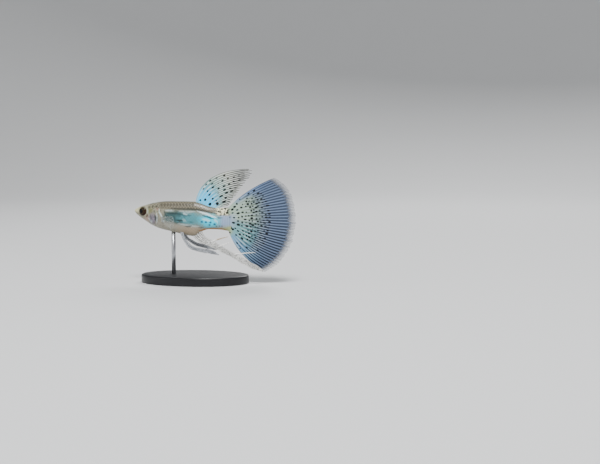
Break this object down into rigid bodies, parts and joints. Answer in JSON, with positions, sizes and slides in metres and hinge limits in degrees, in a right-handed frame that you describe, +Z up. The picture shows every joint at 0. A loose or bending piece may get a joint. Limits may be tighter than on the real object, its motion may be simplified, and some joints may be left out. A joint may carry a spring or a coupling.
{
  "type": "fancy guppy model",
  "caption": "Life-size still model of a male fancy guppy with fan tail, spotted back fin and ribbon fins, held on a plain oval stand by one rod.",
  "frame": {"origin": "middle of the stand base's underside", "axes": "+Z up, -X the way the fish swims, -Y the fish's left side"},
  "size_m": [0.0487, 0.02, 0.0332],
  "materials": {
    "skin": "satin skin with a pearly blue flank",
    "eye": "wet black with a gold rim",
    "spotted_fin": "thin pale membrane with dark spots",
    "blue_fin": "thin blue-grey membrane with dark spots and rays",
    "pale_fin": "thin whitish membrane",
    "clear_fin": "thin, almost clear membrane",
    "stand_base": "satin black",
    "stand_rod": "fine brushed"
  },
  "bodies": {
    "root": {"head": "skin", "torso": "skin", "tail_stalk": "skin", "eye_left": "eye", "eye_right": "eye", "dorsal_fin": "spotted_fin", "tail_fin": "blue_fin", "anal_fin": "pale_fin", "pelvic_fin_left": "pale_fin", "pelvic_fin_right": "pale_fin", "pectoral_fin_left": "clear_fin", "pectoral_fin_right": "clear_fin", "stand_base": "stand_base", "stand_rod": "stand_rod"}
  },
  "joints": []
}
